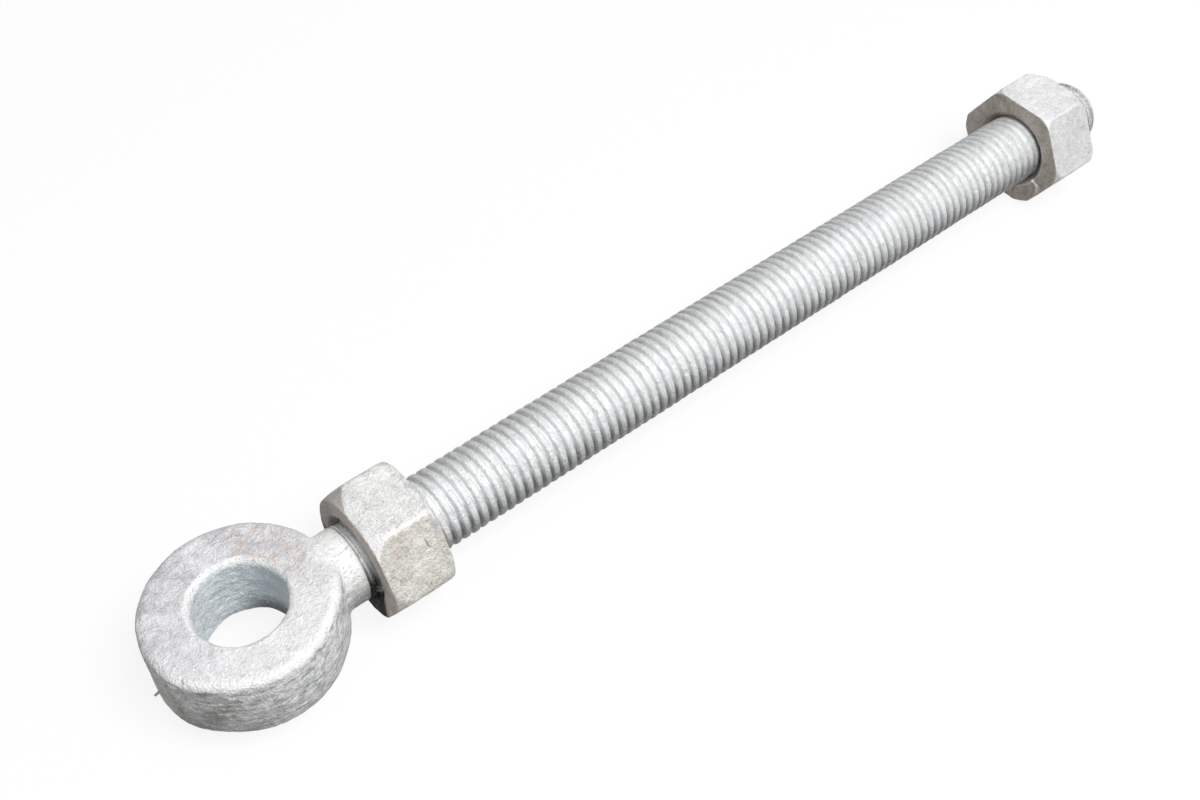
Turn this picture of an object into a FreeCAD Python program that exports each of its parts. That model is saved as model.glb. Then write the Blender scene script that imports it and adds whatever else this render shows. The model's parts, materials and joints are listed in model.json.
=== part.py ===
"""An adjustable gate hinge: a forged eye on a long threaded shank, with two hex nuts.

The eye drops over the pin of a gate hook, and the shank goes through the gate's stile.
The two nuts close on the stile from both sides, and set how far the eye stands off it.

The origin is the centre of the eye's bore. The bore runs along +Z and the shank along +X.
Sizes are in millimetres.
"""
import FreeCAD, Part
import os

import Sketcher
from FreeCAD import Placement, Rotation, Vector

SIZES = [
    ("bore_diameter", 20.3, "bore of the eye, for a pin of 19 mm"),
    ("eye_diameter", 43.0, "outside of the eye"),
    ("eye_thickness", 19.1, "height of the eye along its bore"),
    ("eye_edge_round", 3.1, "rounding of the outer rims of the eye"),
    ("bore_edge_round", 1.2, "rounding of the two rims of the bore"),
    ("neck_diameter", 18.3, "plain round between eye and thread"),
    ("neck_length", 4.0, "plain neck between the outside of the eye and the thread"),
    ("neck_blend", 1.4, "hollow rounding where the neck leaves the eye"),
    ("thread_diameter", 18.9, "over the crests of the thread"),
    ("shank_end", 272.5, "distance from the eye's centre to the end of the shank"),
    ("end_chamfer", 1.25, "bevel at the free end, along the radius"),
    ("end_chamfer_run", 1.9, "bevel at the free end, along the shank"),
    ("nut_wall", 5.6, "thinnest wall of a nut, from the crests out to a flat"),
    ("nut_height", 15.8, "height of a nut along the shank"),
    ("nut_clearance", 0.25, "gap all round between the crests and a nut's bore"),
    ("nut_mouth", 1.2, "countersink of a nut's bore, along the radius"),
    ("top_bevel", 1.75, "what the bevel takes off the corners at a nut's top"),
    ("seat_bevel", 1.5, "what the bevel takes off the corners at a bearing face"),
    ("bevel_angle", 58.0, "slope of both bevels, in degrees off the face"),
    ("inner_nut_gap", 2.0, "thread that shows between the neck and the inner nut"),
    ("end_showing", 10.5, "shank that shows beyond the outer nut"),
    ("inner_nut_turn", 2.5, "turn of the inner nut's flats from the level, in degrees about +X"),
    ("outer_nut_turn", 1.9, "turn of the outer nut's flats from the level, in degrees about +X"),
]

# Sides of a nut, and one whole turn in degrees.
SIDES = 6
FULL_TURN = 360

# Two lengths that differ by less than this are the same.
SAME = 1e-4

# The eye's centre to the end of its plain neck, where the thread begins.
NECK_END = "(sizes.eye_diameter / 2 + sizes.neck_length)"


def write_sizes(doc):
    """The sheet that holds every driving dimension under its own name."""
    sheet = doc.addObject("Spreadsheet::Sheet", "sizes")
    for row, (alias, value, note) in enumerate(SIZES, start=1):
        sheet.set(f"A{row}", alias)
        sheet.set(f"B{row}", str(value))
        sheet.setAlias(f"B{row}", alias)
        sheet.set(f"C{row}", note)
    doc.recompute()
    return sheet


def origin_plane(body, role):
    """One of the body's own planes or axes, by its role."""
    return next(item for item in body.Origin.OriginFeatures if item.Role == role)


def outline_sketch(body, name, role, corners):
    """A closed outline whose corners sit at formulas of the sheet, across and up."""
    sketch = body.newObject("Sketcher::SketchObject", name)
    sketch.AttachmentSupport = [(origin_plane(body, role), "")]
    sketch.MapMode = "FlatFace"
    count = len(corners)
    for index in range(count):
        start = Vector(index + 1, index * index, 0)
        end = Vector(index + 2, (index + 1) * (index + 1), 0)
        sketch.addGeometry(Part.LineSegment(start, end), False)
    for index in range(count):
        follower = (index + 1) % count
        sketch.addConstraint(Sketcher.Constraint("Coincident", index, 2, follower, 1))
    for index, (across, up) in enumerate(corners):
        for kind, formula in (("DistanceX", across), ("DistanceY", up)):
            row = sketch.addConstraint(Sketcher.Constraint(kind, -1, 1, index, 1, 1.0))
            sketch.setExpression(f"Constraints[{row}]", formula)
    return sketch


def turned(body, kind, name, sketch, axis):
    """A feature that turns a sketch once round one of the sketch's axes."""
    feature = body.newObject(kind, name)
    feature.Profile = sketch
    feature.ReferenceAxis = (sketch, [axis])
    feature.Angle = FULL_TURN
    sketch.Visibility = False
    return feature


def rim_edges(shape, radius, height):
    """Names of the circular edges of that radius that lie that far above or below."""
    names = []
    for index, edge in enumerate(shape.Edges, start=1):
        if not isinstance(edge.Curve, Part.Circle):
            continue
        same_radius = abs(edge.Curve.Radius - radius) < SAME
        same_height = abs(abs(edge.Curve.Center.z) - height) < SAME
        if same_radius and same_height:
            names.append(f"Edge{index}")
    return names


def neck_seam(shape, sheet):
    """Names of the edges along which the neck leaves the eye."""
    neck = sheet.get("neck_diameter") / 2
    names = []
    for index, edge in enumerate(shape.Edges, start=1):
        box = edge.BoundBox
        beside_neck = box.YLength <= neck + SAME and box.XMin > sheet.get("bore_diameter") / 2
        if beside_neck and isinstance(edge.Curve, Part.BSplineCurve):
            names.append(f"Edge{index}")
    return names


def rounded(body, name, base, edges, formula):
    """A rounding of the named edges, its radius bound to the sheet."""
    fillet = body.newObject("PartDesign::Fillet", name)
    fillet.Base = (base, edges)
    fillet.setExpression("Radius", formula)
    return fillet


def build_eye_bolt(doc, sheet):
    """The eye, its neck and the shank, forged from one bar."""
    body = doc.addObject("PartDesign::Body", "eye_bolt")
    body.Label = "eye_bolt"

    inside = "sizes.bore_diameter / 2"
    outside = "sizes.eye_diameter / 2"
    top = "sizes.eye_thickness / 2"
    section = outline_sketch(body, "eye_section", "XZ_Plane", [
        (inside, f"-{top}"),
        (outside, f"-{top}"),
        (outside, top),
        (inside, top),
    ])
    eye = turned(body, "PartDesign::Revolution", "eye_ring", section, "V_Axis")
    doc.recompute()

    half_height = sheet.get("eye_thickness") / 2
    outer_rims = rim_edges(eye.Shape, sheet.get("eye_diameter") / 2, half_height)
    softened = rounded(body, "eye_rims", eye, outer_rims, "sizes.eye_edge_round")
    doc.recompute()
    bore_rims = rim_edges(softened.Shape, sheet.get("bore_diameter") / 2, half_height)
    rounded(body, "bore_rims", softened, bore_rims, "sizes.bore_edge_round")
    doc.recompute()

    root = "(sizes.bore_diameter + sizes.eye_diameter) / 4"
    neck = "sizes.neck_diameter / 2"
    crest = "sizes.thread_diameter / 2"
    shank = outline_sketch(body, "shank_outline", "XZ_Plane", [
        (root, "0"),
        ("sizes.shank_end", "0"),
        ("sizes.shank_end", f"{crest} - sizes.end_chamfer"),
        ("sizes.shank_end - sizes.end_chamfer_run", crest),
        (NECK_END, crest),
        (NECK_END, neck),
        (root, neck),
    ])
    grown = turned(body, "PartDesign::Revolution", "shank", shank, "H_Axis")
    doc.recompute()
    rounded(body, "neck_blend", grown, neck_seam(grown.Shape, sheet), "sizes.neck_blend")
    doc.recompute()
    return body


def build_nut(doc, name, turn):
    """A hex nut: bearing face at its own origin, top along +X, flats turned from the level."""
    body = doc.addObject("PartDesign::Body", name)
    body.Label = name

    half_flat = "(sizes.thread_diameter / 2 + sizes.nut_wall)"
    half_corner = f"({half_flat} / cos({FULL_TURN / SIDES / 2} deg))"
    corners = []
    for side in range(SIDES):
        angle = f"(({side * FULL_TURN / SIDES} + {turn}) * 1 deg)"
        corners.append((f"{half_corner} * cos{angle}", f"{half_corner} * sin{angle}"))
    hexagon = outline_sketch(body, f"{name}_hexagon", "YZ_Plane", corners)
    block = body.newObject("PartDesign::Pad", f"{name}_block")
    block.Profile = hexagon
    block.setExpression("Length", "sizes.nut_height")
    hexagon.Visibility = False
    doc.recompute()

    bore = "(sizes.thread_diameter / 2 + sizes.nut_clearance)"
    mouth = f"({bore} + sizes.nut_mouth)"
    hole = outline_sketch(body, f"{name}_bore_outline", "XZ_Plane", [
        ("0", "0"),
        ("sizes.nut_height", "0"),
        ("sizes.nut_height", mouth),
        ("sizes.nut_height - sizes.nut_mouth", bore),
        ("sizes.nut_mouth", bore),
        ("0", mouth),
    ])
    turned(body, "PartDesign::Groove", f"{name}_bore", hole, "H_Axis")
    doc.recompute()

    for end, place, inward in (("top", "sizes.nut_height", "-"), ("seat", "0", "+")):
        flat = f"({half_corner} - sizes.{end}_bevel)"
        beyond = f"({half_corner} + sizes.{end}_bevel)"
        depth = f"({beyond} - {flat}) * tan(sizes.bevel_angle * 1 deg)"
        bevel = outline_sketch(body, f"{name}_{end}_bevel_outline", "XZ_Plane", [
            (place, flat),
            (place, beyond),
            (f"{place} {inward} {depth}", beyond),
        ])
        turned(body, "PartDesign::Groove", f"{name}_{end}_bevel", bevel, "H_Axis")
        doc.recompute()
    return body


def place_nuts(inner, outer):
    """Both nuts have their bearing faces towards the stile, so the inner one is turned about +Z."""
    inner.Placement = Placement(Vector(0, 0, 0), Rotation(Vector(0, 0, 1), 180))
    inner_face = f"{NECK_END} + sizes.inner_nut_gap + sizes.nut_height"
    inner.setExpression("Placement.Base.x", inner_face)
    outer.Placement = Placement(Vector(0, 0, 0), Rotation())
    outer_face = "sizes.shank_end - sizes.end_showing - sizes.nut_height"
    outer.setExpression("Placement.Base.x", outer_face)


def check(doc, parts):
    """Stops if an object failed or a sub-part isn't one sound solid."""
    for item in doc.Objects:
        if "Invalid" in item.State or "Error" in item.State:
            raise SystemExit(f"{item.Name} is {item.State}")
    for part in parts:
        shape = part.Shape
        if shape.isNull() or not shape.isValid() or len(shape.Solids) != 1:
            raise SystemExit(f"{part.Label} isn't one valid solid")


def main():
    doc = FreeCAD.newDocument("gate_hinge")
    sheet = write_sizes(doc)
    eye_bolt = build_eye_bolt(doc, sheet)
    inner_nut = build_nut(doc, "inner_nut", "-sizes.inner_nut_turn")
    outer_nut = build_nut(doc, "outer_nut", "sizes.outer_nut_turn")
    place_nuts(inner_nut, outer_nut)
    doc.recompute()

    parts = [eye_bolt, inner_nut, outer_nut]
    check(doc, parts)
    os.makedirs("parts", exist_ok=True)
    for part in parts:
        part.Shape.exportStep(f"parts/{part.Label}.step")
        box = part.Shape.BoundBox
        print(part.Label, round(part.Shape.Volume, 1), box)


main()
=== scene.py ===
import json
import math
from itertools import product

import bpy
import numpy as np
from mathutils import Matrix, Vector


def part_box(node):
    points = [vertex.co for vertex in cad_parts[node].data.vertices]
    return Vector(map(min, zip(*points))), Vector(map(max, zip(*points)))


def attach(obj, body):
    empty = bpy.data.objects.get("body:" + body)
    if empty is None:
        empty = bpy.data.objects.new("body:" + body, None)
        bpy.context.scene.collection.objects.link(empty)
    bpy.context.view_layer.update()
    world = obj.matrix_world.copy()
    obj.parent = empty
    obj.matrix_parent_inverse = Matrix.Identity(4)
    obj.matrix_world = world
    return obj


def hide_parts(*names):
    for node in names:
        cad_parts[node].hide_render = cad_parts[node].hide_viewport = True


# The looks of the adjustable gate hinge: a forged eye, its threaded shank and two hex nuts,
# all hot-dip galvanised. Shapes are worked out in millimetres and stored in metres.
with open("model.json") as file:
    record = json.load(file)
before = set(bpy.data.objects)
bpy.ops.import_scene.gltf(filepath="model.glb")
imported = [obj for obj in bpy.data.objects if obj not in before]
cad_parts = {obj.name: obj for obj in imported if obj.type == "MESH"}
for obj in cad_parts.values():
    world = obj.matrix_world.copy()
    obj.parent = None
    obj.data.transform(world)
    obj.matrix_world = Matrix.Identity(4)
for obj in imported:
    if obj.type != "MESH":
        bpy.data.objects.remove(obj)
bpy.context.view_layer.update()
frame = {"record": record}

MM = 0.001
MOUNTS = {mount["name"]: mount for mount in frame["record"]["mounts"]}


def extent(node, axis):
    """Lowest and highest place of a CAD node along one axis, in millimetres."""
    low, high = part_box(node)
    return low[axis] / MM, high[axis] / MM


# Sizes that the frame gives, in millimetres.
BORE = MOUNTS["eye_bore"]["dims"]["r_mm"]
CREST = MOUNTS["stile_passage"]["dims"]["r_mm"]
EYE_RADIUS = -extent("eye_bolt", 0)[0]
EYE_TOP = extent("eye_bolt", 2)[1]
SHANK_END = extent("eye_bolt", 0)[1]
STUB_START = extent("outer_nut", 0)[1]
FLOOR = extent("inner_nut", 2)[0]

# The eye: a rim that falls towards the outside, and a front that leans in above and below.
SHOULDER = 2.4
SHOULDER_DROP = 1.15
SHOULDER_REACH = 1.3
SHOULDER_EDGE = 0.8
FRONT_DRAFT = 0.12
FRONT_FROM = 0.35
FRONT_OVER = 0.4
EYE_STEP = 0.30

# The rounding of the bore's lips, and how much it grows towards +Y.
BORE_ROUND = 1.3
LIP_EXTRA = 0.8
LIP_GROWTH = 1.6

# The plain neck. Its end slants by a share of the height.
NECK_RADIUS = 9.15
NECK_START = 15.0
NECK_END = 25.5
NECK_SLANT = 0.045
NECK_RIM = 0.15
NECK_BLEND = 1.3

# Drips and runs of zinc blend into the metal over this much.
ZINC_BLEND = 0.4

# A drip on the eye's side, low on the left.
DRIP_ROOT = (-20.9, 3.1, -7.9)
DRIP_TIP = (-22.1, 3.3, -8.5)
DRIP_RADIUS = 0.3

# The thread: on the side towards +Y, a crest lies at CREST_AT and at every pitch from there.
# Crest and root are half widths, as shares of the pitch. A flank is partly straight, partly eased.
PITCH = 2.54
CREST_AT = 1.89
THREAD_DEPTH = 1.15
CREST_SHARE = 0.24
CREST_DOME = 0.08
ROOT_SHARE = 0.05
STRAIGHT_SHARE = 0.75
ROWS_PER_TURN = 16
STEPS_AROUND = 60

# Beside the neck: a groove, a ring of zinc and the thread's run-out, with the rise after each.
GROOVE_RADIUS = 8.0
GROOVE_END = 25.9
GROOVE_RISE = 4.0
RING_CENTRE = 26.45
RING_RADIUS = 9.1
RING_CURVE = 2.2
RUNOUT_RADIUS = 8.85
RUNOUT_END = 28.3
RUNOUT_RISE = 1.5

# The free end: a bevel, and how fast the sheet's last rows close on the middle of the face.
END_RADIUS = 8.2
END_RUN = 1.9
END_FALL = 3.0

# The nuts. A bevel is its circle's radius on the end face, and how far off centre in y and z.
HALF_FLAT = 15.05
BEVEL_SLOPE = math.radians(58)
NUT_CLEARANCE = 0.25
MOUTH_RADIUS = CREST + NUT_CLEARANCE + 1.2
NUT_STEP = 0.26
INNER_TURN = math.radians(2.5)
INNER_NEAR_BEVEL = (15.15, -0.5, -0.3)
INNER_FAR_BEVEL = (15.6, 0, 0)
OUTER_TURN = math.radians(1.9)
OUTER_NEAR_BEVEL = (16.1, 0.1, 0.2)
OUTER_FAR_BEVEL = (15.9, -0.5, -0.5)

# Runs of zinc on the outer nut's near face: two places in y and z, and the radius between them.
ZINC_RUNS = (
    ((-5.6, -9.8), (-9.4, -5.6), 0.55),
    ((-9.4, -5.6), (-11.0, -6.2), 0.4),
    ((-11.0, -6.2), (-11.5, -8.1), 0.4),
    ((-11.5, -8.1), (-10.9, -9.6), 0.35),
)

# Marks: both ends and the width.
EYE_CRACK = ((-17.4, -6.2, 9.3), (-18.2, -9.6, 8.9), 0.35)
EYE_FOLD = ((-9.6, -5.4, 9.5), (-12.2, -11.6, 9.5), 0.9)
NUT_CRACK = ((38.9, -11.9, 9.8), (39.1, -12.8, 8.0), 0.28)
NUT_RUST = (
    ((33.9, -10.4, 12.5), (34.1, -10.7, 12.0), 0.6),
    ((31.6, -11.5, 10.4), (32.1, -12.0, 9.6), 0.6),
)

# Uneven skins: the height of each noise, the width of its lumps and its seed.
FORGING = ((0.16, 13, 1), (0.09, 4.5, 2), (0.07, 1.5, 3))
SIDE_STREAKS = ((0.17, (6, 6, 0.9), 4),)
BORE_LUMPS = ((0.14, (3, 3, 1.4), 5), (0.08, 0.9, 6))
NECK_STROKES = ((0.09, (4, 1.1, 1.1), 7),)
THREAD_WEAR = ((0.08, 4, 11), (0.065, (1.0, 1.5, 1.5), 12))
NUT_SKIN = ((0.07, 5, 21), (0.05, 1.6, 22))

# How far each skin is sunk, so that its lumps stay near the true size.
EYE_SINK = 0.06
THREAD_SINK = 0.08
NUT_SINK = 0.03

# The camera, as fitted to the photograph.
CAMERA_AZIMUTH = math.radians(-39.176)
CAMERA_ELEVATION = math.radians(49.17)
CAMERA_ROLL = math.radians(-0.324)
CAMERA_DISTANCE = 367.15
CAMERA_AIM = Vector((103.653, 8.179, -10.158))
CAMERA_LENS = 44.193
CAMERA_CLIP = 0.01

# The lamp, in metres and watts.
KEY_PLACE = (0.21, -0.42, 0.79)
KEY_AIM = (0.12, 0, 0)
KEY_SIZE = 0.5
KEY_POWER = 8.0

# The floor in metres, its share of plain white where it is seen, and the world's light.
FLOOR_REACH = 4.0
FLOOR_GLOW = 0.88
FLOOR_ROUGH = 0.9
WORLD_AT_HORIZON = 0.15
WORLD_OVERHEAD = 0.42


# Noise

# Cells before the noise repeats, and what brings it to about -1 to 1.
LATTICE = 32
NOISE_GAIN = 1.6


def noise(points, size, seed):
    """Smooth noise of about -1 to 1, its lumps about as wide as size along each axis."""
    gradients = np.random.default_rng(seed).normal(size=(LATTICE, LATTICE, LATTICE, 3))
    gradients /= np.linalg.norm(gradients, axis=-1, keepdims=True)
    place = points / np.asarray(size, float)
    cell = np.floor(place).astype(int)
    inside = place - cell
    fade = inside**3 * (inside * (inside * 6 - 15) + 10)
    total = np.zeros(len(points))
    for corner in product((0, 1), repeat=3):
        index = (cell + corner) % LATTICE
        weight = np.where(corner, fade, 1 - fade).prod(axis=1)
        slope = gradients[index[:, 0], index[:, 1], index[:, 2]]
        total += weight * ((inside - corner) * slope).sum(axis=1)
    return total * NOISE_GAIN


def layered(points, layers):
    """The sum of noises, each given as its height, the width of its lumps and its seed."""
    return sum(height * noise(points, size, seed) for height, size, seed in layers)


# Distances: millimetres to a surface, negative inside the metal

def smooth_min(first, second, blend):
    """The lesser of two distances, rounded over where they are alike."""
    share = np.clip(0.5 + 0.5 * (second - first) / blend, 0, 1)
    return second * (1 - share) + first * share - blend * share * (1 - share)


def smooth_max(first, second, blend):
    """The greater of two distances, rounded over where they are alike."""
    return -smooth_min(-first, -second, blend)


def rod(points, start, end, radius):
    """A round rod between two points."""
    along = np.subtract(end, start)
    apart = points - np.asarray(start)
    share = np.clip(apart @ along / (along @ along), 0, 1)
    return np.linalg.norm(apart - share[:, None] * along, axis=1) - radius


def eye_distance(points):
    """The ring of the eye, blended into the plain neck, with the drip of zinc."""
    radial = np.hypot(points[:, 0], points[:, 1])
    towards_y = points[:, 1] / np.maximum(radial, 1)
    up = np.abs(points[:, 2]) - EYE_TOP
    front = np.clip((-towards_y - FRONT_FROM) / FRONT_OVER, 0, 1)
    outside = radial - EYE_RADIUS + FRONT_DRAFT * front * np.abs(points[:, 2])
    share = np.clip(outside / SHOULDER + 1, 0, SHOULDER_REACH)
    cap = (up + SHOULDER_DROP * share**2) / np.hypot(1, 2 * SHOULDER_DROP * share / SHOULDER)
    rim = smooth_max(outside, cap, SHOULDER_EDGE)
    lip = BORE_ROUND + LIP_EXTRA * np.clip(LIP_GROWTH * towards_y, 0, 1)
    inward = BORE - radial + lip
    upward = up + lip
    bore = np.hypot(np.maximum(inward, 0), np.maximum(upward, 0)) - lip
    bore += np.minimum(np.maximum(inward, upward), 0)
    ring = np.maximum(rim, bore)

    shank = np.hypot(points[:, 1], points[:, 2]) - NECK_RADIUS
    past_end = points[:, 0] - NECK_END - NECK_SLANT * points[:, 2]
    neck = smooth_max(shank, np.maximum(NECK_START - points[:, 0], past_end), 2 * NECK_RIM)
    body = smooth_min(ring, neck, NECK_BLEND)
    return smooth_min(body, rod(points, DRIP_ROOT, DRIP_TIP, DRIP_RADIUS), ZINC_BLEND)


def thread_radius(along, angle):
    """Radius of the thread at a place along the shank and an angle round it."""
    turn = (along - CREST_AT) / PITCH - angle / (2 * math.pi)
    from_crest = np.abs(turn - np.round(turn))
    fall = np.clip((from_crest - CREST_SHARE) / (0.5 - CREST_SHARE - ROOT_SHARE), 0, 1)
    eased = fall**2 * (3 - 2 * fall)
    flank = STRAIGHT_SHARE * fall + (1 - STRAIGHT_SHARE) * eased
    dome = CREST_DOME * np.minimum(from_crest / CREST_SHARE, 1) ** 2
    return CREST - dome - (THREAD_DEPTH - CREST_DOME) * flank


class Nut:
    """A hex nut with its flats turned about the shank."""

    def __init__(self, node, turn, bevels, corner_round, edge_round, runs=()):
        self.low, self.high = extent(node, 0)
        self.turn = turn
        self.bevels = bevels
        self.corner_round = corner_round
        self.edge_round = edge_round
        self.runs = runs

    def distance(self, points):
        """The hexagon, the bevels and the end faces, less the threaded bore."""
        y = points[:, 1]
        z = points[:, 2]
        body = None
        for third in range(3):
            angle = math.pi / 2 + self.turn + third * math.pi / 3
            flat = np.abs(y * math.cos(angle) + z * math.sin(angle)) - HALF_FLAT
            body = flat if body is None else smooth_max(body, flat, self.corner_round)
        depths = (points[:, 0] - self.low, self.high - points[:, 0])
        for depth, (circle, off_y, off_z) in zip(depths, self.bevels):
            out = np.hypot(y - off_y, z - off_z) - circle
            bevel = out * math.sin(BEVEL_SLOPE) - depth * math.cos(BEVEL_SLOPE)
            body = smooth_max(body, bevel, self.edge_round)
            body = smooth_max(body, -depth, self.edge_round)
        mouth = MOUTH_RADIUS - np.minimum(*depths)
        wall = thread_radius(points[:, 0], np.arctan2(z, y)) + NUT_CLEARANCE
        bore = np.maximum(mouth, wall) - np.hypot(y, z)
        body = smooth_max(body, bore, self.edge_round)
        for start, end, radius in self.runs:
            run = rod(points, (self.low, *start), (self.low, *end), radius)
            body = smooth_min(body, run, ZINC_BLEND)
        return body

    def box(self):
        """Corners of a box that holds the nut."""
        reach = HALF_FLAT * 2 / math.sqrt(3) + 1
        return (self.low - 1, -reach, -reach), (self.high + 1, reach, reach)


# Half the distance over which a slope is measured.
SLOPE_STEP = 0.02


def slope_of(distance, points):
    """Outward direction of the distance at each point, as unit vectors."""
    columns = []
    for axis in range(3):
        shift = np.zeros(3)
        shift[axis] = SLOPE_STEP
        columns.append(distance(points + shift) - distance(points - shift))
    slope = np.stack(columns, axis=1)
    return slope / np.maximum(np.linalg.norm(slope, axis=1, keepdims=True), 1e-12)


# Meshes

# How often a cast surface is evened out, and put back on its distance after each time.
EVENING_ROUNDS = 4
FITTING_ROUNDS = 3


def surface_of(distance, box, step):
    """Points and quads of the surface where the distance is nought, on a grid of that step."""
    low, high = box
    axes = [np.arange(start, end + step, step) for start, end in zip(low, high)]
    grid = np.stack(np.meshgrid(*axes, indexing="ij"), axis=-1)
    inside = (distance(grid.reshape(-1, 3)) < 0).reshape(grid.shape[:3])
    corners = 0
    nx, ny, nz = inside.shape
    for i, j, k in product((0, 1), repeat=3):
        corners = corners + inside[i:nx - 1 + i, j:ny - 1 + j, k:nz - 1 + k].astype(int)
    crossed = (corners > 0) & (corners < 8)
    number = np.full(crossed.shape, -1)
    number[crossed] = np.arange(crossed.sum())
    points = np.argwhere(crossed) * step + np.asarray(low) + step / 2

    quads = []
    for axis in range(3):
        first = np.take(inside, range(inside.shape[axis] - 1), axis)
        second = np.take(inside, range(1, inside.shape[axis]), axis)
        place = np.argwhere(first != second)
        one = np.eye(3, dtype=int)[(axis + 1) % 3]
        two = np.eye(3, dtype=int)[(axis + 2) % 3]
        ring = [place - one - two, place - two, place, place - one]
        ids = np.stack([number[tuple(cell.T)] for cell in ring], axis=1)
        leaving = first[tuple(place.T)]
        ids[~leaving] = ids[~leaving][:, ::-1]
        quads.append(ids)
    return points, np.concatenate(quads)


def evened(points, quads, distance):
    """The points spread evenly over the surface of the distance."""
    ends = np.concatenate([quads[:, [0, 1]], quads[:, [1, 2]], quads[:, [2, 3]], quads[:, [3, 0]]])
    total = len(points)
    count = np.bincount(ends[:, 0], minlength=total) + np.bincount(ends[:, 1], minlength=total)
    for _ in range(EVENING_ROUNDS):
        average = np.zeros_like(points)
        for axis in range(3):
            average[:, axis] = (
                np.bincount(ends[:, 0], points[ends[:, 1], axis], total)
                + np.bincount(ends[:, 1], points[ends[:, 0], axis], total)
            )
        points = average / count[:, None]
        for _ in range(FITTING_ROUNDS):
            points = points - distance(points)[:, None] * slope_of(distance, points)
    return points


def mesh_object(name, points, faces):
    """A smooth-shaded object from points in millimetres."""
    mesh = bpy.data.meshes.new(name)
    mesh.from_pydata((points * MM).tolist(), [], faces.tolist())
    mesh.validate()
    mesh.polygons.foreach_set("use_smooth", np.ones(len(mesh.polygons), bool))
    made = bpy.data.objects.new(name, mesh)
    bpy.context.scene.collection.objects.link(made)
    return made


def cast(name, distance, box, step, relief):
    """A piece with the form of a distance and the uneven skin of a relief."""
    points, quads = surface_of(distance, box, step)
    points = evened(points, quads, distance)
    outward = slope_of(distance, points)
    points = points + relief(points, outward)[:, None] * outward
    return mesh_object(name, points, quads)


def eye_relief(points, outward):
    """Forging marks and zinc on the eye, with streaks on its side and strokes on its neck."""
    on_side = 1 - np.clip(np.abs(outward[:, 2]) / 0.6, 0, 1)
    radial = np.hypot(points[:, 0], points[:, 1])
    in_bore = np.clip((BORE + 1.5 - radial) / 1.5, 0, 1)
    on_neck = np.clip((points[:, 0] - 20.5) / 2, 0, 1)
    skin = layered(points, FORGING) * (1 - 0.6 * on_neck)
    skin += layered(points, SIDE_STREAKS) * on_side * (1 - in_bore) * (1 - on_neck)
    skin += layered(points, BORE_LUMPS) * in_bore
    skin += layered(points, NECK_STROKES) * on_neck
    return skin - EYE_SINK


def nut_relief(points, outward):
    """Uneven zinc on a nut, alike in every direction."""
    return layered(points, NUT_SKIN) - NUT_SINK


def shank_radius(along, angle):
    """Radius of the worn shank: groove, ring, run-out, thread, bevel and the end's face."""
    places = np.stack([along, CREST * np.cos(angle), CREST * np.sin(angle)], axis=-1)
    wear = layered(places.reshape(-1, 3), THREAD_WEAR).reshape(along.shape) - THREAD_SINK
    runout = RUNOUT_RADIUS + RUNOUT_RISE * np.maximum(along - RUNOUT_END, 0)
    ring = RING_RADIUS - RING_CURVE * (along - RING_CENTRE) ** 2
    radius = np.maximum(np.minimum(thread_radius(along, angle), runout), ring) + wear

    after_neck = GROOVE_RADIUS + GROOVE_RISE * np.maximum(along - GROOVE_END, 0)
    before_end = END_RADIUS + (SHANK_END - along) * (CREST - END_RADIUS) / END_RUN
    radius = np.minimum(radius, np.minimum(after_neck, before_end))
    beyond = along - SHANK_END
    radius = np.where(beyond > 0, END_RADIUS - END_FALL * beyond, radius)
    return np.maximum(radius, 0)


def build_shank():
    """The threaded shank as one helical sheet of quads, from inside the neck to the end's centre."""
    first_row = math.floor((NECK_END - 1 - CREST_AT) / PITCH) * ROWS_PER_TURN
    last_turn = (SHANK_END + END_RADIUS / END_FALL - CREST_AT) / PITCH + 1
    rows = np.arange(first_row, math.ceil(last_turn) * ROWS_PER_TURN)
    turns, steps = np.meshgrid(rows / ROWS_PER_TURN, np.arange(STEPS_AROUND), indexing="ij")
    angle = 2 * math.pi * steps / STEPS_AROUND
    along = CREST_AT + PITCH * (turns + steps / STEPS_AROUND)
    radius = shank_radius(along, angle)
    along = np.clip(along, NECK_END - 1, SHANK_END)
    points = np.stack([along, radius * np.cos(angle), radius * np.sin(angle)], axis=-1)

    row, step = np.meshgrid(np.arange(len(rows) - 1), np.arange(STEPS_AROUND), indexing="ij")
    over = (step == STEPS_AROUND - 1) * ROWS_PER_TURN
    here = row * STEPS_AROUND + step
    up = (row + 1) * STEPS_AROUND + step
    beside = (row + over) * STEPS_AROUND + (step + 1) % STEPS_AROUND
    beside_up = beside + STEPS_AROUND
    quads = np.stack([here, beside, beside_up, up], axis=-1).reshape(-1, 4)
    quads = quads[quads.max(axis=1) < len(rows) * STEPS_AROUND]
    return mesh_object("threaded_shank", points.reshape(-1, 3), quads)


# Materials

# Sockets of the Mix node when it mixes colours.
MIX_SHARE = 0
MIX_FIRST = 6
MIX_SECOND = 7
MIX_RESULT = 2

# How the skin of zinc varies in roughness, and how rough the smaller lumps of its noises are.
ROUGH_SPREAD = 0.1
LUMP_ROUGHNESS = 0.6

# How far a mark strays from its line, over what length, and the share of its width that is full.
STRAY = 1.0
STRAY_LENGTH = 1.2
MARK_CORE = 0.4


def colour(red, green, blue):
    """An opaque colour."""
    return (red, green, blue, 1.0)


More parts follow.
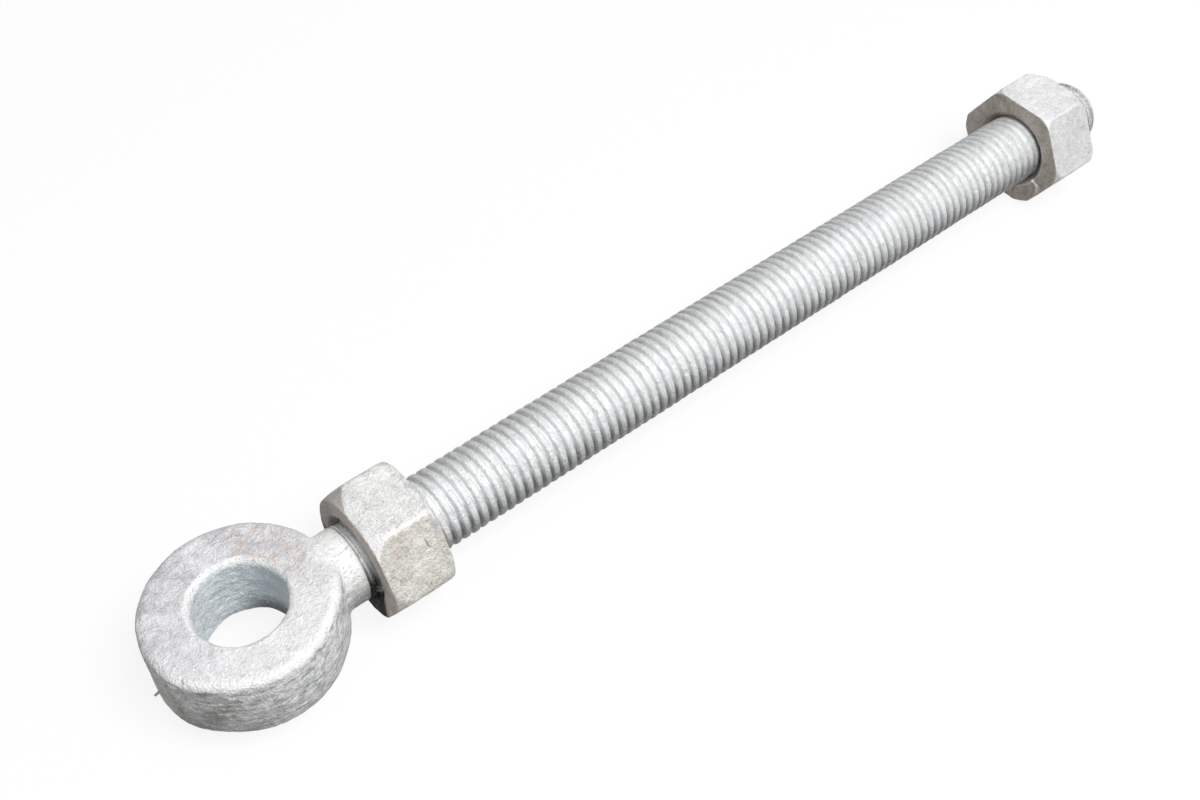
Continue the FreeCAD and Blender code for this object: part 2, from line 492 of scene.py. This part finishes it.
# Bright zinc for curls and scratches, also the painted highlight on rims, lips, ridges and bevels.
FLECK_AND_HIGHLIGHT = colour(0.90, 0.90, 0.90)
LAVENDER_PALE = colour(0.88, 0.88, 0.91)
LAVENDER_DULL = colour(0.38, 0.37, 0.40)
SIDE_PALE = colour(0.98, 0.99, 0.97)
# Dark brown for stains and painted shade on the eye's side.
SIDE_STAIN_AND_SHADE = colour(0.20, 0.18, 0.165)
SIDE_DULL = colour(0.27, 0.28, 0.29)
BORE_PALE = colour(0.98, 1.0, 1.0)
BORE_DULL = colour(0.56, 0.67, 0.74)
BORE_SHADE = colour(0.05, 0.055, 0.06)
NECK_PALE = colour(0.93, 0.93, 0.92)
CREST_PALE = colour(0.96, 0.96, 0.95)
CREST_DULL = colour(0.60, 0.62, 0.63)
FLANK_BLUE = colour(0.86, 0.89, 0.905)
# Grey for painted shade under the neck and the shank, and on the shank's far side.
UNDERSIDE_SHADE = colour(0.18, 0.18, 0.18)
# Grey for painted shade in the thread's grooves.
ROOT_SHADE = colour(0.24, 0.26, 0.28)
STUB_GREY = colour(0.30, 0.32, 0.35)
TOP_PALE = colour(0.93, 0.93, 0.91)
TOP_DULL = colour(0.52, 0.52, 0.51)
WARM_PALE = colour(0.85, 0.825, 0.775)
WARM_DULL = colour(0.42, 0.40, 0.34)
COOL_PALE = colour(0.89, 0.89, 0.90)
COOL_DULL = colour(0.55, 0.55, 0.56)
COOL_SIDE_PALE = colour(0.80, 0.80, 0.80)
COOL_SIDE_DULL = colour(0.50, 0.50, 0.50)
FACE_PALE = colour(0.76, 0.69, 0.62)
FACE_DULL = colour(0.33, 0.285, 0.25)
GREY_PATCH = colour(0.40, 0.40, 0.43)
SHADE = colour(0.035, 0.03, 0.028)
PIT = colour(0.12, 0.12, 0.12)
RUST = colour(0.60, 0.44, 0.34)
WHITE = colour(1.0, 1.0, 1.0)
FLOOR_WHITE = colour(0.95, 0.95, 0.95)
FLOOR_BOUNCE = colour(0.2, 0.2, 0.2)


class Tree:
    """A node tree that is put together by short calls."""

    def __init__(self, owner):
        owner.use_nodes = True
        self.tree = owner.node_tree

    def node(self, kind, inputs=None, **settings):
        """A node with its settings, whose inputs are set or linked."""
        made = self.tree.nodes.new(kind)
        for name, value in settings.items():
            setattr(made, name, value)
        for name, value in (inputs or {}).items():
            if isinstance(value, bpy.types.NodeSocket):
                self.tree.links.new(value, made.inputs[name])
            else:
                made.inputs[name].default_value = value
        return made

    def math(self, operation, first, second=0.0):
        """One step of arithmetic."""
        return self.node("ShaderNodeMath", {0: first, 1: second}, operation=operation).outputs[0]

    def all_of(self, *shares):
        """The product of shares."""
        result = shares[0]
        for share in shares[1:]:
            result = self.math("MULTIPLY", result, share)
        return result

    def sum_of(self, *parts):
        """The sum of values, each times its own weight."""
        total = 0.0
        for value, weight in parts:
            total = self.math("ADD", total, self.math("MULTIPLY", value, weight))
        return total

    def ranged(self, value, low, high, to_low=0.0, to_high=1.0):
        """The value, stretched from one range to another and held at its ends."""
        inputs = {"Value": value, "From Min": low, "From Max": high, "To Min": to_low, "To Max": to_high}
        return self.node("ShaderNodeMapRange", inputs).outputs["Result"]

    def mix(self, share, first, second):
        """A colour between two others."""
        inputs = {MIX_SHARE: share, MIX_FIRST: first, MIX_SECOND: second}
        return self.node("ShaderNodeMix", inputs, data_type="RGBA").outputs[MIX_RESULT]

    def over(self, tint, other, *shares):
        """The colour with another one over it, by the product of the shares."""
        return self.mix(self.all_of(*shares), tint, other)

    def seen(self):
        """1 for what is seen, also mirrored or through glass, and 0 for what only lights."""
        path = self.node("ShaderNodeLightPath")
        seen = path.outputs["Is Camera Ray"]
        for ray in ("Is Glossy Ray", "Is Transmission Ray"):
            seen = self.math("MAXIMUM", seen, path.outputs[ray])
        return seen


class Material(Tree):
    """A material, with its principled shader."""

    def __init__(self, name):
        self.data = bpy.data.materials.new(name)
        super().__init__(self.data)
        self.shader = self.tree.nodes["Principled BSDF"]

    def link(self, socket, name):
        """Feeds one of the shader's inputs."""
        self.tree.links.new(socket, self.shader.inputs[name])


class Zinc(Material):
    """Galvanising: clouds, patches and grain of two tones, bright curls, dark pits, a rough skin."""

    def __init__(self, name, metallic=0.1, rough=0.5):
        super().__init__(name)
        self.place = self.node("ShaderNodeTexCoord").outputs["Object"]
        self.clouds = self.ranged(self.noise(6, 4), 0.36, 0.62)
        self.patches = self.ranged(self.noise(1.8, 4), 0.40, 0.60)
        self.grain = self.ranged(self.noise(0.55, 3), 0.38, 0.62)
        self.curls = self.curled(2.4, 0.5)
        self.pits = self.ranged(self.noise(0.9, 3), 0.66, 0.70)
        self.shader.inputs["Metallic"].default_value = metallic
        self.roughness = self.ranged(self.grain, 0, 1, rough + ROUGH_SPREAD, rough - ROUGH_SPREAD)
        self.link(self.roughness, "Roughness")

    def noise(self, size, detail=3.0, stretch=(1, 1, 1)):
        """A noise of 0 to 1 whose lumps are that many millimetres wide, times the stretch."""
        scale = [1 / factor for factor in stretch]
        place = self.node("ShaderNodeMapping", {"Vector": self.place, "Scale": scale}).outputs[0]
        inputs = {"Vector": place, "Scale": 1 / (size * MM), "Detail": detail, "Roughness": LUMP_ROUGHNESS}
        return self.node("ShaderNodeTexNoise", inputs).outputs["Fac"]

    def vector(self, operation, inputs, output="Vector"):
        """One step of vector arithmetic."""
        return self.node("ShaderNodeVectorMath", inputs, operation=operation).outputs[output]

    def part(self, axis):
        """One coordinate of the place, in millimetres."""
        split = self.node("ShaderNodeSeparateXYZ", {0: self.place})
        return self.math("MULTIPLY", split.outputs[axis], 1 / MM)

    def facing(self, axis):
        """How far the surface faces along one axis, from -1 to 1."""
        normal = self.node("ShaderNodeNewGeometry").outputs["Normal"]
        return self.node("ShaderNodeSeparateXYZ", {0: normal}).outputs[axis]

    def length_of(self, keep):
        """Distance from the origin in millimetres, with only the kept axes counted."""
        kept = self.vector("MULTIPLY", {0: self.place, 1: keep})
        return self.math("MULTIPLY", self.vector("LENGTH", {0: kept}, "Value"), 1 / MM)

    def curled(self, size, share):
        """Short curved marks: where a noise is at its middle and another one is high."""
        off_middle = self.math("ABSOLUTE", self.math("SUBTRACT", self.noise(size, 2), 0.5))
        broken = self.ranged(self.noise(size * 0.7, 2), share, share + 0.07)
        return self.all_of(self.ranged(off_middle, 0.035, 0.008), broken)

    def rays(self, count, size):
        """A noise of streaks that run outwards from the shank's axis."""
        split = self.node("ShaderNodeSeparateXYZ", {0: self.place})
        angle = self.math("ARCTAN2", split.outputs[1], split.outputs[2])
        around = self.math("MULTIPLY", angle, count)
        outwards = self.math("MULTIPLY", self.length_of((0, 1, 1)), 1 / size)
        place = self.node("ShaderNodeCombineXYZ", {0: around, 1: outwards}).outputs[0]
        return self.node("ShaderNodeTexNoise", {"Vector": place, "Scale": 1.0}).outputs["Fac"]

    def mark(self, start, end, width):
        """How much a place lies on an uneven line between two points, given in millimetres."""
        along = Vector(end) - Vector(start)
        stray = self.node("ShaderNodeTexNoise", {"Vector": self.place, "Scale": 1 / (STRAY_LENGTH * MM)})
        shift = self.vector("MULTIPLY", {0: stray.outputs["Color"], 1: [STRAY * MM] * 3})
        shifted = self.vector("ADD", {0: self.place, 1: shift})
        origin = [(value + STRAY / 2) * MM for value in start]
        apart = self.vector("SUBTRACT", {0: shifted, 1: origin})
        reach = self.vector("DOT_PRODUCT", {0: apart, 1: along}, "Value")
        share = self.ranged(reach, 0, along.length_squared * MM)
        on_line = self.vector("SCALE", {0: along * MM, "Scale": share})
        off_line = self.vector("SUBTRACT", {0: apart, 1: on_line})
        distance = self.vector("LENGTH", {0: off_line}, "Value")
        return self.ranged(distance, width * MM, width * MM * MARK_CORE)

    def tones(self, dull, pale, clouds=0.25, patches=0.3, grain=0.45):
        """A colour between two tones, by shares of the clouds, the patches and the grain."""
        tone = self.sum_of((self.clouds, clouds), (self.patches, patches), (self.grain, grain))
        return self.mix(tone, dull, pale)

    def scratched(self, tint, stretch, low, high, dark, bright):
        """The colour with thin dark and bright marks that run the way of the stretch."""
        scratches = self.noise(1, 4, stretch)
        tint = self.over(tint, PIT, self.ranged(scratches, 0.5 - low, 0.5 - high), dark)
        return self.over(tint, FLECK_AND_HIGHLIGHT, self.ranged(scratches, 0.5 + low, 0.5 + high), bright)

    def painted_shade(self, tint, share):
        """The colour with painted shade over that share of it, made matt there as well."""
        self.link(self.math("MAXIMUM", self.roughness, share), "Roughness")
        return self.mix(share, tint, SHADE)

    def finished(self, tint, curls, pits, relief):
        """The material, with curls and pits over the colour and a bump of so many millimetres."""
        tint = self.over(tint, FLECK_AND_HIGHLIGHT, self.curls, curls)
        tint = self.over(tint, PIT, self.pits, pits)
        self.link(tint, "Base Color")
        lumps = self.noise(1.3, 4)
        height = self.sum_of((self.grain, 0.3), (lumps, 1.0), (self.curls, 0.25), (self.pits, -0.4))
        bump = self.node("ShaderNodeBump", {"Height": height, "Distance": relief * MM, "Strength": 1.0})
        self.link(bump.outputs["Normal"], "Normal")
        return self.data


def eye_side(look):
    """Streaked grey, with brown stains and painted shade at the far left and painted shade along the low
    edge.
    """
    streaks = look.ranged(look.noise(1, 5, (3, 3, 0.9)), 0.42, 0.58)
    tone = look.sum_of((streaks, 0.48), (look.patches, 0.32), (look.grain, 0.3))
    side = look.mix(tone, SIDE_DULL, SIDE_PALE)
    # Brown stains and painted shade towards the far left, away from the lamp.
    side = look.over(side, SIDE_STAIN_AND_SHADE, look.ranged(look.part(0), -3, -15), look.clouds, 0.8)
    # Painted shade along the low edge.
    return look.over(side, SIDE_STAIN_AND_SHADE, look.ranged(look.part(2), -4, -9, 0.0, 0.42))


def bore_wall(look):
    """Blue-grey with thin marks round the bore, darker towards the right, and painted shade low on the
    right.
    """
    wall = look.tones(BORE_DULL, BORE_PALE, 0.3, 0.45, 0.5)
    wall = look.over(wall, BORE_DULL, look.ranged(look.part(0), -5, 8, 0.0, 0.45))
    wall = look.scratched(wall, (4, 4, 0.5), 0.08, 0.13, 0.35, 0.8)
    # Painted shade low on the right of the wall.
    on_right = look.ranged(look.part(0), 2, 8)
    low = look.ranged(look.part(2), -2, -7)
    return look.over(wall, BORE_SHADE, on_right, low, 0.95)


def eye_form(look, towards_lamp, upward, radial):
    """The eye's tones: lavender top with painted light towards the lamp's side, streaked side, bore, and
    painted highlights on the rim in front and the lip behind.
    """
    off_flat = look.ranged(upward, 0.985, 0.93)
    upright = look.ranged(upward, 0.45, 0.25)
    top = look.tones(LAVENDER_DULL, LAVENDER_PALE, 0.5, 0.3, 0.25)
    # Painted light: the top grows paler towards the lamp's side.
    tint = look.over(top, FLECK_AND_HIGHLIGHT, look.ranged(towards_lamp, -20, 14), 0.58)
    tint = look.over(tint, eye_side(look), upright, look.ranged(radial, 17, 19.5))

    # Painted highlight on the rounded rim in front, where it faces the lamp.
    in_front = look.ranged(look.facing(1), -0.05, -0.3)
    speckled = look.ranged(look.grain, 0, 1, 0.6, 1.0)
    tint = look.over(tint, FLECK_AND_HIGHLIGHT, off_flat, look.ranged(upward, 0.3, 0.45), in_front, speckled)
    tint = look.over(tint, bore_wall(look), look.ranged(radial, BORE + 1.0, BORE + 0.6), upright)

    # Painted highlight on the bore's lip on the far side, which faces the lamp.
    by_bore = look.ranged(radial, BORE + 2.5, BORE + 2.0)
    behind = look.ranged(look.part(1), 0, 3)
    return look.over(tint, FLECK_AND_HIGHLIGHT, by_bore, behind, off_flat, look.ranged(upward, 0.2, 0.4), 0.9)


def eye_material():
    """The forging: the eye with rust and greys behind the bore, the pale neck with painted light on top
    and painted shade below, and single marks.
    """
    look = Zinc("galvanised_forging")
    radial = look.length_of((1, 1, 0))
    upward = look.facing(2)
    # How far a place lies towards the lamp's side: it drives the painted light on the top and the share of
    # curls.
    towards_lamp = look.sum_of((look.part(0), 0.25), (look.part(1), -1))
    tint = eye_form(look, towards_lamp, upward, radial)

    before_neck = look.all_of(look.ranged(look.part(0), 0, 9), look.ranged(look.part(0), 20, 16))
    on_top = look.ranged(upward, 0.6, 0.9)
    stained = look.all_of(before_neck, on_top, look.ranged(look.part(1), -9, 2))
    tint = look.over(tint, GREY_PATCH, stained, look.ranged(look.noise(1.2, 4), 0.5, 0.62), 0.5)
    tint = look.over(tint, RUST, stained, look.ranged(look.noise(1.7, 5), 0.48, 0.62), 0.5)

    on_neck = look.ranged(look.part(0), 19.5, 21.5)
    neck = look.scratched(NECK_PALE, (2.5, 0.6, 0.6), 0.05, 0.16, 0.3, 0.8)
    # More of the pale neck where it faces up: painted light on its top.
    tint = look.over(tint, neck, on_neck, look.ranged(upward, -0.4, 0.3, 0.2, 0.85))
    # Painted shade under the neck.
    tint = look.over(tint, UNDERSIDE_SHADE, on_neck, look.ranged(look.part(2), 6.5, -1, 0.0, 0.76))

    tint = look.over(tint, PIT, look.mark(*EYE_CRACK), 0.6)
    tint = look.over(tint, LAVENDER_DULL, look.mark(*EYE_FOLD), 0.25)
    on_drip = look.ranged(radial, EYE_RADIUS - 0.1, EYE_RADIUS + 0.3)
    tint = look.over(tint, FACE_PALE, on_drip, look.ranged(look.part(0), -20.8, -21.1))
    return look.finished(tint, curls=look.ranged(towards_lamp, -20, 14, 0.25, 0.6), pits=0.12, relief=0.36)


def shank_material():
    """Pale crests and blue-grey flanks, with painted shade in the grooves, below, on the far side and in
    the gap beside the neck.
    """
    look = Zinc("galvanised_thread", metallic=0.24, rough=0.42)
    along = look.part(0)
    sideways = look.part(1)
    up = look.part(2)
    radial = look.length_of((0, 1, 1))
    tint = look.tones(CREST_DULL, CREST_PALE, 0.25, 0.4, 0.5)
    tint = look.over(tint, FLANK_BLUE, look.clouds, 0.35)
    lines = look.ranged(look.noise(0.5, 4, (1, 9, 9)), 0.47, 0.6)
    tint = look.over(tint, CREST_DULL, lines, 0.55)
    specks = look.ranged(look.noise(1.0, 4), 0.56, 0.66)
    tint = look.over(tint, RUST, specks, 0.3)

    flank = look.ranged(radial, CREST - 0.15, CREST - 0.5)
    tint = look.over(tint, FLANK_BLUE, flank, look.ranged(look.patches, 0, 1, 0.4, 0.75))
    # Painted shade in the thread's grooves, stronger lower down.
    root = look.all_of(look.ranged(radial, CREST - 0.7, CREST - 1.05), look.ranged(along, 27, 28.5))
    tint = look.over(tint, ROOT_SHADE, root, look.ranged(up, 6, 1, 0.1, 0.8))

    # Painted shade on the underside and on the far side.
    tint = look.over(tint, UNDERSIDE_SHADE, look.ranged(up, 3.5, -1, 0.0, 0.78))
    tint = look.over(tint, UNDERSIDE_SHADE, look.ranged(up, 8, 4.5, 0.0, 0.12))
    tint = look.over(tint, UNDERSIDE_SHADE, look.ranged(sideways, -3, 3, 0.0, 0.3))
    tint = look.over(tint, STUB_GREY, look.ranged(along, STUB_START - 0.5, STUB_START + 1, 0.0, 0.5))
    # Painted shade in the gap between the neck and the near nut, low down.
    beside_neck = look.ranged(along, 28.5, 27.5)
    tint = look.painted_shade(tint, look.all_of(beside_neck, look.ranged(up, 6.5, 1)))
    return look.finished(tint, curls=0.4, pits=0.35, relief=0.36)


def nut_form(look, side_tones, top_tones, scratches, ridge_highlight):
    """A nut's tones: pale flats, marked along the shank, a brown-grey face towards the eye, and painted
    highlights on the ridge, the near bevel and the mouth's edge.
    """
    endways = look.facing(0)
    sideways = look.facing(1)
    upward = look.facing(2)
    radial = look.length_of((0, 1, 1))
    on_side = look.ranged(sideways, -0.3, -0.7)
    tint = look.mix(on_side, look.tones(*top_tones), look.tones(*side_tones))
    tint = look.scratched(tint, (2.0, 0.4, 0.4), 0.09, 0.16, scratches, 2 * scratches)

    # Painted highlight along the ridge between the top and side flats.
    between = look.all_of(look.ranged(sideways, -0.25, -0.42), look.ranged(sideways, -0.74, -0.6))
    tint = look.over(tint, FLECK_AND_HIGHLIGHT, between, look.ranged(upward, 0.3, 0.5), ridge_highlight)
    # Painted highlight on the bevel at the near top corner.
    bevel = look.all_of(look.ranged(endways, -0.36, -0.46), look.ranged(upward, 0.35, 0.55))
    tint = look.over(tint, FLECK_AND_HIGHLIGHT, bevel, look.ranged(sideways, -0.12, -0.3), 0.85)

    lines = look.ranged(look.rays(14, 5), 0.36, 0.64)
    tone = look.sum_of((lines, 0.28), (look.clouds, 0.5), (look.grain, 0.22))
    face = look.mix(tone, FACE_DULL, FACE_PALE)
    face = look.over(face, RUST, look.ranged(radial, 13.5, 11), look.patches, 0.35)
    tint = look.over(tint, face, look.ranged(endways, -0.66, -0.78))
    in_mouth = look.ranged(radial, MOUTH_RADIUS + 0.4, MOUTH_RADIUS)
    tint = look.over(tint, face, in_mouth, look.ranged(endways, 0.2, -0.2))
    # Painted highlight on the mouth's edge, on the near side.
    outer_edge = look.ranged(radial, MOUTH_RADIUS + 0.5, MOUTH_RADIUS + 0.2)
    inner_edge = look.ranged(radial, MOUTH_RADIUS - 0.3, MOUTH_RADIUS)
    on_near_side = look.ranged(look.part(1), -2, -5)
    return look.over(tint, FLECK_AND_HIGHLIGHT, outer_edge, inner_edge, on_near_side, 0.7)


def inner_nut_material(nut):
    """Warm grey, with a shaded low corner, a browned far side, grey blotches and three marks."""
    look = Zinc("nut_warm")
    tint = nut_form(look, (WARM_DULL, WARM_PALE), (TOP_DULL, TOP_PALE), 0.2, 0.6)
    # Painted shade on the face's low corner, beside and under the neck.
    low_corner = look.all_of(look.ranged(look.part(2), 2, -3), look.ranged(look.part(1), -11.4, -9.6))
    tint = look.painted_shade(tint, look.all_of(low_corner, look.ranged(look.facing(0), -0.3, -0.6)))
    on_face = look.ranged(look.facing(0), -0.3, -0.45)
    tint = look.over(tint, FACE_DULL, on_face, look.ranged(look.part(1), -3, 3), 0.6)
    far_end = look.ranged(look.part(0), nut.high - 2.6, nut.high - 1.4)
    tint = look.over(tint, GREY_PATCH, far_end, look.ranged(look.noise(3.0, 3), 0.5, 0.56), 0.6)
    tint = look.over(tint, PIT, look.mark(*NUT_CRACK), 0.75)
    for mark in NUT_RUST:
        tint = look.over(tint, RUST, look.mark(*mark), 0.6)
    return look.finished(tint, curls=0.35, pits=0.45, relief=0.26)


def outer_nut_material(nut):
    """Cool pale grey, with dark dots near its far end."""
    look = Zinc("nut_pale")
    tint = nut_form(look, (COOL_SIDE_DULL, COOL_SIDE_PALE), (COOL_DULL, COOL_PALE), 0.03, 0.12)
    far_end = look.ranged(look.part(0), nut.high - 5, nut.high - 1)
    tint = look.over(tint, PIT, far_end, look.ranged(look.noise(1.3, 2), 0.62, 0.68), 0.6)
    return look.finished(tint, curls=0.3, pits=0.4, relief=0.2)


def floor_material():
    """White where the floor is seen, and dull where it would light the metal from below."""
    look = Material("floor_white")
    look.shader.inputs["Roughness"].default_value = FLOOR_ROUGH
    seen = look.seen()
    look.link(look.mix(seen, FLOOR_BOUNCE, FLOOR_WHITE), "Base Color")
    glow = look.node("ShaderNodeEmission").outputs[0]
    share = look.math("MULTIPLY", seen, FLOOR_GLOW)
    mixed = look.node("ShaderNodeMixShader", {0: share, 1: look.shader.outputs[0], 2: glow}).outputs[0]
    look.tree.links.new(mixed, look.tree.nodes["Material Output"].inputs["Surface"])
    return look.data


# The pieces

def take(piece, node, body, material):
    """Gives a piece its material, the body it rides on and the CAD node it stands for."""
    piece.data.materials.append(material)
    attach(piece, body)
    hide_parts(node)


eye_box = (-EYE_RADIUS - 1, -EYE_RADIUS - 1, -EYE_TOP - 1), (NECK_END + 1, EYE_RADIUS + 1, EYE_TOP + 1)
forged_eye = cast("forged_eye", eye_distance, eye_box, EYE_STEP, eye_relief)
take(forged_eye, "eye_bolt", "bolt", eye_material())

threaded_shank = build_shank()
take(threaded_shank, "eye_bolt", "bolt", shank_material())

inner = Nut("inner_nut", INNER_TURN, (INNER_NEAR_BEVEL, INNER_FAR_BEVEL), 1.2, 0.4)
inner_piece = cast("hex_nut_inner", inner.distance, inner.box(), NUT_STEP, nut_relief)
take(inner_piece, "inner_nut", "near_nut", inner_nut_material(inner))

outer = Nut("outer_nut", OUTER_TURN, (OUTER_NEAR_BEVEL, OUTER_FAR_BEVEL), 0.5, 0.3, ZINC_RUNS)
outer_piece = cast("hex_nut_outer", outer.distance, outer.box(), NUT_STEP, nut_relief)
take(outer_piece, "outer_nut", "far_nut", outer_nut_material(outer))


# Floor, light and camera

def build_floor():
    """A large floor, just under the nuts."""
    near = -FLOOR_REACH
    far = FLOOR_REACH
    corners = [(x, y, FLOOR * MM) for x, y in ((near, near), (far, near), (far, far), (near, far))]
    mesh = bpy.data.meshes.new("floor")
    mesh.from_pydata(corners, [], [(0, 1, 2, 3)])
    mesh.materials.append(floor_material())
    floor = bpy.data.objects.new("floor", mesh)
    bpy.context.scene.collection.objects.link(floor)


def build_world():
    """A dome that lights most from overhead, and is white where it is seen or mirrored."""
    world = bpy.data.worlds.new("studio")
    bpy.context.scene.world = world
    sky = Tree(world)
    direction = sky.node("ShaderNodeTexCoord").outputs["Generated"]
    height = sky.node("ShaderNodeSeparateXYZ", {0: direction}).outputs["Z"]
    light = sky.ranged(height, 0, 1, WORLD_AT_HORIZON, WORLD_OVERHEAD)
    background = sky.tree.nodes["Background"]
    background.inputs["Color"].default_value = WHITE
    sky.tree.links.new(sky.math("MAXIMUM", light, sky.seen()), background.inputs["Strength"])


def build_key():
    """The lamp: a disk above the eye's side, towards the camera."""
    light = bpy.data.lights.new("key", "AREA")
    light.shape = "DISK"
    light.size = KEY_SIZE
    light.energy = KEY_POWER
    lamp = bpy.data.objects.new("key", light)
    lamp.location = KEY_PLACE
    lamp.rotation_euler = (Vector(KEY_AIM) - Vector(KEY_PLACE)).to_track_quat("-Z", "Y").to_euler()
    bpy.context.scene.collection.objects.link(lamp)


def build_camera():
    """The photograph's own view."""
    right = Vector((math.cos(CAMERA_AZIMUTH), math.sin(CAMERA_AZIMUTH), 0))
    back = Vector((
        math.sin(CAMERA_AZIMUTH) * math.cos(CAMERA_ELEVATION),
        -math.cos(CAMERA_AZIMUTH) * math.cos(CAMERA_ELEVATION),
        math.sin(CAMERA_ELEVATION),
    ))
    up = back.cross(right)
    side = right * math.cos(CAMERA_ROLL) + up * math.sin(CAMERA_ROLL)
    top = up * math.cos(CAMERA_ROLL) - right * math.sin(CAMERA_ROLL)
    place = (CAMERA_AIM + back * CAMERA_DISTANCE) * MM
    data = bpy.data.cameras.new("camera")
    data.lens = CAMERA_LENS
    data.clip_start = CAMERA_CLIP
    camera = bpy.data.objects.new("camera", data)
    camera.matrix_world = Matrix.Translation(place) @ Matrix((side, top, back)).transposed().to_4x4()
    bpy.context.scene.collection.objects.link(camera)
    bpy.context.scene.camera = camera


build_floor()
build_world()
build_key()
build_camera()
bpy.context.scene.view_settings.view_transform = "Standard"
